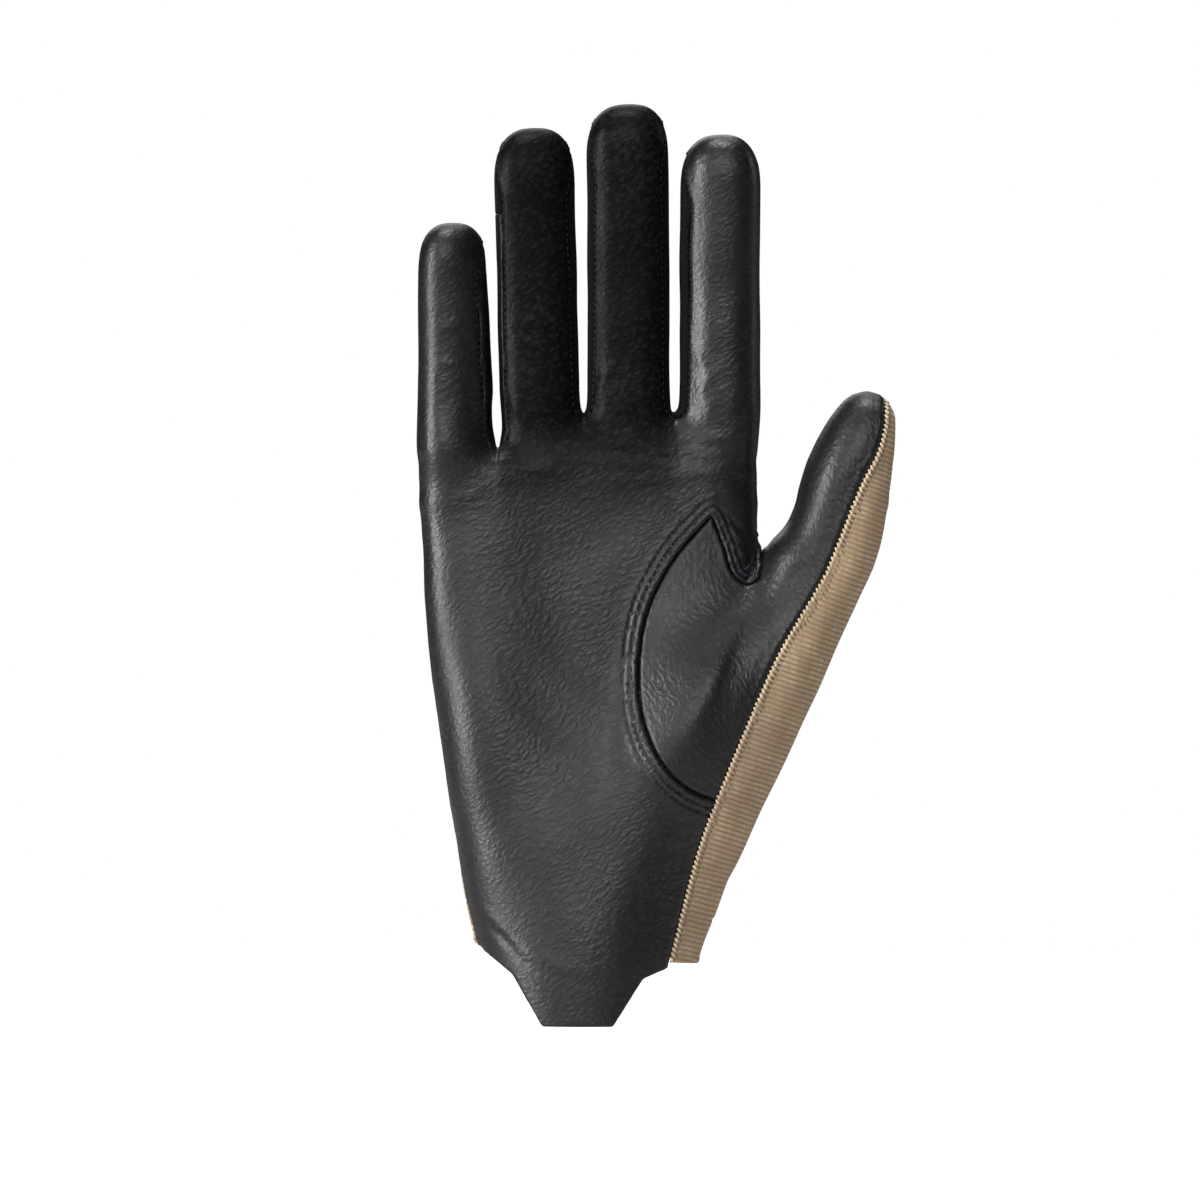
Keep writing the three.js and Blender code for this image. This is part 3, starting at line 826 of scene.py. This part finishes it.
class Wire:  # a socket, on which Python's operators add Math nodes
    def __init__(self, nodes, socket):
        self.nodes = nodes
        self.socket = socket

    def math(self, operation, *others):
        values = {i: v for i, v in enumerate([self, *others])}
        return self.nodes.add("ShaderNodeMath", {"operation": operation}, values)

    def __add__(self, other):
        return self.math("ADD", other)

    def __mul__(self, other):
        return self.math("MULTIPLY", other)

    def __sub__(self, other):
        return self.math("SUBTRACT", other)

    def __truediv__(self, other):
        return self.math("DIVIDE", other)

    def __pow__(self, other):
        return self.math("POWER", other)

    def __rsub__(self, other):
        return self.nodes.add("ShaderNodeMath", {"operation": "SUBTRACT"}, {0: other, 1: self})

    def __rtruediv__(self, other):
        return self.nodes.add("ShaderNodeMath", {"operation": "DIVIDE"}, {0: other, 1: self})

    __radd__ = __add__
    __rmul__ = __mul__


class Nodes:
    def __init__(self, name):
        self.material = bpy.data.materials.new(name)
        self.material.use_nodes = True
        self.tree = self.material.node_tree
        self.tree.nodes.clear()

    def add(self, kind, settings=None, inputs=None, output=0):
        node = self.tree.nodes.new(kind)
        for key, value in (settings or {}).items():
            setattr(node, key, value)
        for key, value in (inputs or {}).items():
            if isinstance(value, Wire):
                self.tree.links.new(value.socket, node.inputs[key])
            elif value is not None:
                node.inputs[key].default_value = value
        return Wire(self, node.outputs[output]) if len(node.outputs) else node

    # The place on the object, in millimetres and turned about Y
    def spot(self, turn=0, scale=1000):
        where = self.add("ShaderNodeTexCoord", output="Object")
        inputs = {"Vector": where, "Scale": (scale, scale, scale), "Rotation": (0, turn, 0)}
        return self.add("ShaderNodeMapping", {}, inputs)

    def xyz(self, vector):
        return [self.add("ShaderNodeSeparateXYZ", {}, {0: vector}, axis) for axis in range(3)]

    def noise(self, vector, scale, detail=3, rough=0.5):
        inputs = {"Vector": vector, "Scale": scale, "Detail": detail, "Roughness": rough}
        return self.add("ShaderNodeTexNoise", {}, inputs)

    def step(self, value, low, high):
        settings = {"interpolation_type": "SMOOTHSTEP"}
        return self.add("ShaderNodeMapRange", settings, {0: value, 1: low, 2: high})

    def colour(self, value):
        return (*value, 1) if isinstance(value, tuple) else value

    def mix(self, factor, a, b):
        inputs = {0: factor, 6: self.colour(a), 7: self.colour(b)}
        return self.add("ShaderNodeMix", {"data_type": "RGBA"}, inputs, 2)

    def finish(self, base, roughness, height=None, depth=0, more=None, paintedShadeSetting=None):
        inputs = {"Base Color": base, "Roughness": roughness}
        if height is not None:
            bump = {"Height": height, "Distance": depth * mm, "Strength": 1}
            inputs["Normal"] = self.add("ShaderNodeBump", {}, bump)
        surface = self.add("ShaderNodeBsdfPrincipled", {}, {**inputs, **(more or {})})
        # painted shade: where the mask is set, the surface is mixed toward a copy with almost no specular,
        # which takes the highlights away
        if paintedShadeSetting is not None:
            matt = self.add("ShaderNodeBsdfPrincipled", {}, {**inputs, "Specular IOR Level": 0.06})
            surface = self.add("ShaderNodeMixShader", {}, {0: paintedShadeSetting, 1: surface, 2: matt})
        self.add("ShaderNodeOutputMaterial", {}, {"Surface": surface})
        return self.material


# Black leather: pebbles of about 1 mm, drawn out along a diagonal and parted by fine
# creases, with a slow change of gloss, and painted shade on the ring and middle fingers
leather = {
    "pebble": 1.1, "stretch": 1.8, "depth": 0.085,
    "dark": (0.0024, 0.0024, 0.0025), "light": (0.0125, 0.0122, 0.012),
    "roughness": 0.43,
}


# turn is the way the pebbles are drawn out, in degrees up from +X
def leatherMaterial(name, turn):
    n = Nodes(name)
    p = n.spot(math.radians(turn))
    bend = n.add("ShaderNodeTexNoise", {}, {"Vector": p, "Scale": 0.09, "Detail": 2}, 1)
    bent = n.add("ShaderNodeVectorMath", {"operation": "MULTIPLY_ADD"}, {0: bend, 1: (4.5, 4.5, 4.5), 2: p})
    size = leather["pebble"]
    scale = (1 / size / leather["stretch"], 1 / size, 1 / size)
    drawn = n.add("ShaderNodeVectorMath", {"operation": "MULTIPLY"}, {0: bent, 1: scale})
    inputs = {"Vector": drawn, "Scale": 1, "Smoothness": 0.35}
    cells = n.add("ShaderNodeTexVoronoi", {"feature": "SMOOTH_F1"}, inputs)
    inputs = {"Vector": drawn, "Scale": 0.62}
    creases = n.add("ShaderNodeTexVoronoi", {"feature": "DISTANCE_TO_EDGE"}, inputs)
    pebbles = 1 - n.step(cells, 0.05, 0.75)
    lines = n.step(creases, 0, 0.16)
    coarse = n.noise(p, 0.05, 2)
    fine = n.noise(p, 2.6, 2)
    wrinkles = n.noise(drawn, 1.1, 2, 0.5)
    height = pebbles * 0.5 + wrinkles * 0.48 + lines * 0.2 + fine * 0.05
    shade = pebbles * 0.35 + lines * 0.2 + coarse * 0.45
    # painted shade on the ring and middle fingers: a slightly darker base colour, mixed
    # toward a copy with almost no specular, which takes their highlights away
    x, y, z = n.xyz(n.spot())
    paintedShadeSetting = (1 - n.step((x + 0.6).math("ABSOLUTE"), 20, 23.5)) * n.step(z, 104, 136)
    base = n.mix(n.step(shade, 0.3, 0.9) * (1 - paintedShadeSetting * 0.1), leather["dark"], leather["light"])
    roughness = leather["roughness"] + (0.5 - coarse) * 0.2 - pebbles * 0.05
    return n.finish(base, roughness, height, leather["depth"], {"Specular IOR Level": 0.5}, paintedShadeSetting * 0.95)


# Tan knit: fine ribs across the seam, in columns of short stitches that stand out lighter
knit = {
    "pitch": 1.3, "stitch": 1.0, "columnWide": 3.4, "depth": 0.26,
    "dark": (0.31, 0.217, 0.134), "mid": (0.545, 0.395, 0.248), "light": (0.72, 0.57, 0.4),
}


def knitMaterial(name, paintedShadeSetting=1.0):
    n = Nodes(name)
    p = n.spot()
    x, y, z = n.xyz(p)
    side = (x / 30).math("MINIMUM", 1).math("MAXIMUM", -1)
    wave = n.noise(p, 0.07, 1)
    along = x - y.math("ABSOLUTE") * side + wave * 1.4
    drop = (x - 18).math("SMOOTH_MAX", 0, 14)
    column = along / knit["columnWide"]
    row = (z + drop * 0.34 + wave * 0.9) / knit["pitch"]
    ribs = (row * math.pi).math("SINE").math("ABSOLUTE")
    bars = (column * math.pi).math("SINE").math("ABSOLUTE") ** 0.5
    loops = ((along / knit["stitch"] + row.math("FLOOR") * 0.5) * math.pi).math("SINE").math("ABSOLUTE")
    fuzz = n.noise(p, 2.6, 3, 0.6)
    patches = n.noise(p, 0.11, 3)
    yarn = ribs**0.7 * (loops * 0.25 + 0.75) * (bars * 0.3 + 0.7)
    height = yarn + fuzz * 0.3
    tone = yarn * 0.36 + fuzz * 0.3 + (patches - 0.5) * 0.4 + 0.1
    base = n.mix(n.step(tone, 0.05, 0.85), knit["dark"], knit["mid"])
    shown = n.step(n.noise(p, 0.2, 2), 0.45, 0.62)
    base = n.mix(ribs**3 * bars * shown * 0.5, base, knit["light"])
    # painted shade: below 1, the setting keeps that share of the tan and mixes the rest toward near-black,
    # for the inside face of the knit
    if paintedShadeSetting != 1:
        base = n.mix(1 - paintedShadeSetting, base, (0.05, 0.04, 0.03))
    more = {"Sheen Weight": 0.06, "Sheen Roughness": 0.5, "Specular IOR Level": 0.15}
    return n.finish(base, 0.86 - fuzz * 0.1, height, knit["depth"], more)


# Mesh of the side walls between the fingers: near-black navy, partly the mesh's own dark navy and partly
# painted shade, as the walls sit in shade between the fingers
def meshMaterial():
    n = Nodes("meshNavy")
    p = n.spot(0.78)
    x, y, z = n.xyz(p)
    holes = ((x / 0.8 + y * 0.6) * math.pi).math("SINE") * ((z / 0.8) * math.pi).math("SINE")
    open_ = n.step(holes.math("ABSOLUTE"), 0.2, 0.75)
    fuzz = n.noise(p, 3, 3)
    base = n.mix(open_, (0.0026, 0.0027, 0.005), (0.0008, 0.0008, 0.0013))
    height = fuzz * 0.2 - open_
    more = {"Sheen Weight": 0.02, "Specular IOR Level": 0.12}
    return n.finish(base, 0.78 + fuzz * 0.12, height, 0.18, more)


def suedeMaterial():
    n = Nodes("suedeInside")
    p = n.spot()
    fibres = n.noise(p, 2.2, 5, 0.65)
    patches = n.noise(p, 0.12, 2)
    base = n.mix(fibres * 0.7 + patches * 0.3, (0.012, 0.0115, 0.011), (0.04, 0.038, 0.036))
    return n.finish(base, 0.92, fibres, 0.15, {"Sheen Weight": 0.2, "Specular IOR Level": 0.15})


def threadMaterial(name, dark, light, twist=0.55):
    n = Nodes(name)
    p = n.spot()
    x, y, z = n.xyz(p)
    strands = ((x + y + z) / twist * math.pi).math("SINE").math("ABSOLUTE")
    fuzz = n.noise(p, 4, 3)
    base = n.mix(n.step(strands * 0.7 + fuzz * 0.4, 0.2, 0.9), dark, light)
    return n.finish(base, 0.62 + fuzz * 0.1, strands + fuzz * 0.3, 0.06, {"Specular IOR Level": 0.35})


leatherBlack = leatherMaterial("leatherBlack", 33)
leatherThumb = leatherMaterial("leatherThumb", 116)
knitTan = knitMaterial("knitTan")
# the knit's inside face: the tan knit with painted shade
knitInside = knitMaterial("knitInside", 0.6)
meshNavy = meshMaterial()
suedeInside = suedeMaterial()
threadBlack = threadMaterial("threadBlack", (0.003, 0.003, 0.004), (0.014, 0.014, 0.016))
threadNavy = threadMaterial("threadNavy", (0.006, 0.0055, 0.014), (0.03, 0.026, 0.062))
threadBrown = threadMaterial("threadBrown", (0.035, 0.024, 0.015), (0.12, 0.085, 0.055))
threadCream = threadMaterial("threadCream", (0.34, 0.26, 0.17), (0.74, 0.62, 0.45))
print("materials made")

palmPiece = panelPiece(palmPanel, "palm_skin", leatherBlack, suedeInside, "leather_black")
thumbPiece = panelPiece(thumbPanel, "thumb_skin", leatherThumb, suedeInside, "leather_black")
knitPiece = panelPiece(knitPanel, "knit_skin", knitTan, knitInside, "knit_tan")
indexPiece = panelPiece(indexWall, "side_wall_skin_index_middle", meshNavy, suedeInside, "mesh_navy")
middlePiece = panelPiece(middleWall, "side_wall_skin_middle_ring", meshNavy, suedeInside, "mesh_navy")
tipPiece = panelPiece(tipWall, "side_wall_skin_ring_tip", meshNavy, suedeInside, "mesh_navy")
reinPiece = panelPiece(reinWall, "rein_patch_skin", leatherBlack, suedeInside, "leather_black")
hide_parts("palm_leather")
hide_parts("thumb_leather")
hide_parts("knit_back")
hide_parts("side_wall_index_middle")
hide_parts("side_wall_middle_ring")
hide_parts("side_wall_ring_tip")
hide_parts("rein_patch")
print("panels made")

# Stitches and beads


# The edges between two panels, walked into lines of (point, normal, side of the first panel)
def seamLines(first, others):
    layer = body.faces.layers.int["panel"]
    links = {}
    for e in body.edges:
        if len(e.link_faces) != 2:
            continue
        ids = [f[layer] for f in e.link_faces]
        if first in ids and ids[0] != ids[1] and (ids[0] + ids[1] - first) in others:
            for a, b in (e.verts, reversed(e.verts)):
                links.setdefault(a, []).append(b)
    lines = []
    while links:
        ends = [v for v, near in links.items() if len(near) == 1]
        v = ends[0] if ends else next(iter(links))
        line = [v]
        while links.get(v):
            after = links[v].pop()
            if not links[v]:
                del links[v]
            if after in links and v in links[after]:
                links[after].remove(v)
                if not links[after]:
                    del links[after]
            line.append(after)
            v = after
        lines.append(line)
    return [line for line in lines if len(line) > 8]


def evenly(line, spacing):
    p = np.array([v.co for v in line])
    for _ in range(6):  # takes the small steps of the mesh out of the line
        p[1:-1] = 0.5 * p[1:-1] + 0.25 * (p[:-2] + p[2:])
    run = np.concatenate([[0], np.cumsum(np.linalg.norm(np.diff(p, axis=0), axis=1))])
    at = np.arange(spacing / 2, run[-1], spacing)
    return np.array([np.interp(at, run, p[:, k]) for k in range(3)]).T


surface = BVHTree.FromBMesh(body)


# Places beside a seam. side is the field that says which way is away from the seam.
def rowBeside(line, offset, spacing, field, lift=0):
    p = evenly(line, spacing)
    if len(p) < 3:
        return []
    ways = np.gradient(p, axis=0)
    placed = []
    for spot, way in zip(p, ways):
        spot, way = Vector(spot), Vector(way).normalized()
        normal = surface.find_nearest(spot)[1]
        across = normal.cross(way).normalized()
        probe = np.array([spot + across * 0.8, spot - across * 0.8])
        values = field(probe)
        if values[1] > values[0]:
            across = -across
        near, normal, _, far = surface.find_nearest(spot + across * offset)
        if far > 1.5:
            continue
        way = (way - normal * way.dot(normal)).normalized()
        placed.append((near + normal * lift, way, normal))
    return placed


def thread(length, radius, segments=7):
    bm = bmesh.new()
    bmesh.ops.create_uvsphere(bm, u_segments=segments, v_segments=6, radius=1)
    for v in bm.verts:  # a fat middle and short round ends, with its length along x
        v.co = Vector((v.co.z * length / 2, v.co.x * radius, v.co.y * radius))
    mesh = bpy.data.meshes.new("oneStitch")
    bm.to_mesh(mesh)
    bm.free()
    return mesh


def sewn(name, rows, length, radius, slant, material, uneven=0.08):
    template = thread(length, radius)
    bm = bmesh.new()
    for placed in rows:
        for spot, way, normal in placed:
            across = normal.cross(way)
            turn = math.radians(slant) + random.normal(0, uneven)
            along = way * math.cos(turn) + across * math.sin(turn)
            side = normal.cross(along)
            matrix = Matrix((along, side, normal)).transposed().to_4x4()
            matrix.translation = spot
            one = template.copy()
            one.transform(matrix)
            bm.from_mesh(one)
            bpy.data.meshes.remove(one)
    bpy.data.meshes.remove(template)
    print(name, len(bm.faces), "faces")
    return finished(bm, name, [material])


def faceSide(p):
    return wallField(p)[0]


# The seam outside the thumb, which the palm view shows, and the rest of it
def onThumbSide(spot):
    return spot.y < -1.2 and spot.x > 15


def thumbSide(placed):
    return [one for one in placed if onThumbSide(one[0])]


def otherSide(placed):
    return [one for one in placed if not onThumbSide(one[0])]


# Rows of stitches beside all of the given seams, each row as its dictionary says
def rowsBeside(lines, stitch, field, lift, kept=list):
    return [kept(rowBeside(line, stitch["offset"], stitch["spacing"], field, lift)) for line in lines]


beads = {"spacing": 1.25, "length": 1.5, "radius": 0.36, "offset": 0.4, "slant": 58}
puckers = {"spacing": 1.25, "length": 1.1, "radius": 0.15, "offset": 2.0, "slant": 66}
edgeStitch = {"spacing": 1.8, "length": 1.2, "radius": 0.16, "offset": -0.9}
panelStitch = {"spacing": 1.9, "length": 1.3, "radius": 0.2, "offsets": (1.95, 3.75)}
wallStitch = {"spacing": 1.7, "length": 1.2, "radius": 0.18, "offset": 0.95}

edgeLines = seamLines(knitPanel, (palmPanel, thumbPanel))
panelLines = seamLines(palmPanel, (thumbPanel,))
wallLines = [
    line
    for first in (indexWall, middleWall, tipWall, reinWall)
    for line in seamLines(first, (palmPanel, knitPanel))
]
print("seams", len(edgeLines), len(panelLines), len(wallLines))
sewn(
    "edge_beads",
    rowsBeside(edgeLines, beads, edgeField, 0.04, thumbSide),
    beads["length"], beads["radius"], beads["slant"], threadCream,
)
sewn(
    "edge_puckers",
    rowsBeside(edgeLines, puckers, edgeField, -0.02, thumbSide),
    puckers["length"], puckers["radius"], puckers["slant"], threadBrown,
)
sewn(
    "edge_stitches",
    rowsBeside(edgeLines, edgeStitch, edgeField, -0.05, otherSide),
    edgeStitch["length"], edgeStitch["radius"], 0, threadBlack,
)
sewn(
    "thumb_panel_stitches",
    [
        rowBeside(line, offset, panelStitch["spacing"], panelField, 0.03)
        for line in panelLines
        for offset in panelStitch["offsets"]
    ],
    panelStitch["length"], panelStitch["radius"], 0, threadNavy,
)
sewn(
    "side_wall_stitches",
    rowsBeside(wallLines, wallStitch, faceSide, 0),
    wallStitch["length"], wallStitch["radius"], 0, threadBlack,
)
print("stitches made")

# Stage


def areaLight(name, place, aim, size, power):
    light = bpy.data.lights.new(name, "AREA")
    light.shape = "RECTANGLE"
    light.size, light.size_y = size
    light.energy = power
    lamp = bpy.data.objects.new(name, light)
    lamp.location = place
    way = Vector(aim) - Vector(place)
    lamp.rotation_euler = way.to_track_quat("-Z", "Y").to_euler()
    bpy.context.scene.collection.objects.link(lamp)


stage = {"floorUp": -0.065, "wide": 5.0, "front": -0.45, "back": 1.5}


def floorMaterial():
    n = Nodes("floorPale")
    grain = n.noise(n.spot(scale=8), 1.0, 2)
    base = n.mix(grain, (0.5, 0.5, 0.5), (0.53, 0.53, 0.53))
    shown = n.add("ShaderNodeLightPath", output="Is Camera Ray")
    glow = n.mix(shown, (0.1, 0.1, 0.1), (0.9, 0.9, 0.9))
    return n.finish(base, 0.9, None, 0, {"Emission Color": glow, "Emission Strength": 1})


def makeFloor():
    bm = bmesh.new()
    bmesh.ops.create_grid(bm, x_segments=8, y_segments=8, size=0.5)
    long = stage["back"] - stage["front"]
    bmesh.ops.scale(bm, verts=bm.verts, vec=(stage["wide"], long, 1))
    middle = (stage["back"] + stage["front"]) / 2
    bmesh.ops.translate(bm, verts=bm.verts, vec=(0, middle, stage["floorUp"]))
    mesh = bpy.data.meshes.new("floor")
    bm.to_mesh(mesh)
    bm.free()
    mesh.materials.append(floorMaterial())
    floor = bpy.data.objects.new("floor", mesh)
    bpy.context.scene.collection.objects.link(floor)


makeFloor()

# The world lights softly, and shows as a white studio behind
world = bpy.data.worlds.new("studio")
world.use_nodes = True
worldTree = world.node_tree
path = worldTree.nodes.new("ShaderNodeLightPath")
strength = worldTree.nodes.new("ShaderNodeMapRange")
strength.inputs["To Min"].default_value = 0.045
strength.inputs["To Max"].default_value = 1.0
worldTree.links.new(path.outputs["Is Camera Ray"], strength.inputs["Value"])
background = worldTree.nodes["Background"]
background.inputs["Color"].default_value = (1, 1, 1, 1)
worldTree.links.new(strength.outputs[0], background.inputs["Strength"])
bpy.context.scene.world = world

centre = (0.015, 0, 0.09)
# Place and size in metres, power in watts; all are aimed at the middle of the glove
lights = {
    "keyLeft": {"place": (-1.34, -0.86, 0.1), "size": (0.35, 1.2), "power": 31},
    "fillFront": {"place": (-0.3, -1.9, 0.6), "size": (0.9, 0.4), "power": 10.5},
    "topFront": {"place": (-0.3, -0.6, 2.0), "size": (0.8, 0.6), "power": 27},
    "topSoft": {"place": (0.1, 0.5, 1.7), "size": (1.0, 1.0), "power": 8},
    "sideRight": {"place": (1.5, 0.3, 0.6), "size": (0.4, 1.0), "power": 2.2},
    "backSoft": {"place": (-0.3, 1.5, 1.1), "size": (1.2, 1.0), "power": 8},
}
for name, light in lights.items():
    areaLight(name, light["place"], centre, light["size"], light["power"])

cameraData = bpy.data.cameras.new("camera")
cameraData.lens = 240
cameraData.sensor_width = 36
camera = bpy.data.objects.new("camera", cameraData)
camera.location = (0.003, -2.01, 0.09125)
camera.rotation_euler = (math.pi / 2, 0, 0)
bpy.context.scene.collection.objects.link(camera)
bpy.context.scene.camera = camera

bpy.context.scene.view_settings.view_transform = "Standard"

print("scene made")
